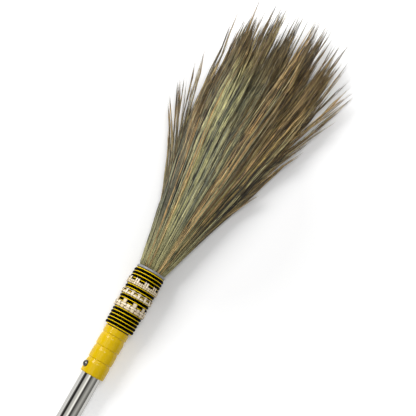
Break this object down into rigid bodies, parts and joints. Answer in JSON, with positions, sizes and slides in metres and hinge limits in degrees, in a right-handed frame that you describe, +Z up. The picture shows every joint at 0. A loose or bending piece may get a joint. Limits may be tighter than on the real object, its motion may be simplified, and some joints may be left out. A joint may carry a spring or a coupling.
{
  "type": "grass broom",
  "caption": "Soft floor broom: dried grass head bound into a wound neck with woven rings, on a moulded sleeve and a polished tube handle.",
  "frame": {"origin": "bottom centre of the bounding box: the middle of the floor area on which the broom lies", "axes": "+Y along the broom from the handle's end to the grass, +Z up, +X to the right when looking from the handle to the grass"},
  "size_m": [0.2108, 1.1668, 0.0455],
  "materials": {
    "polished_steel": "polished stainless tube",
    "cap_plastic": "moulded yellow",
    "sleeve_plastic": "glossy moulded yellow",
    "screw_steel": "plated",
    "ferrule_plastic": "satin grey",
    "black_cord_plastic": "glossy cord",
    "yellow_cord_plastic": "glossy cord",
    "woven_strip": "woven pale cane strip",
    "dried_grass": "dried grass",
    "binding_wire": "plain wire"
  },
  "bodies": {
    "root": {"black_cord": "black_cord_plastic", "grass_bundle_01": "dried_grass", "grass_bundle_02": "dried_grass", "grass_bundle_03": "dried_grass", "grass_bundle_04": "dried_grass", "grass_bundle_05": "dried_grass", "grass_bundle_06": "dried_grass", "grass_bundle_07": "dried_grass", "grass_bundle_08": "dried_grass", "grass_bundle_09": "dried_grass", "grass_bundle_10": "dried_grass", "grass_bundle_11": "dried_grass", "grass_bundle_12": "dried_grass", "handle_end_cap": "cap_plastic", "handle_tube": "polished_steel", "neck_ferrule": "ferrule_plastic", "neck_sleeve": "sleeve_plastic", "root_binding_wire": "binding_wire", "sleeve_screw": "screw_steel", "woven_ring_lower": "woven_strip", "woven_ring_middle": "woven_strip", "woven_ring_upper": "woven_strip", "yellow_cord": "yellow_cord_plastic"}
  },
  "joints": []
}
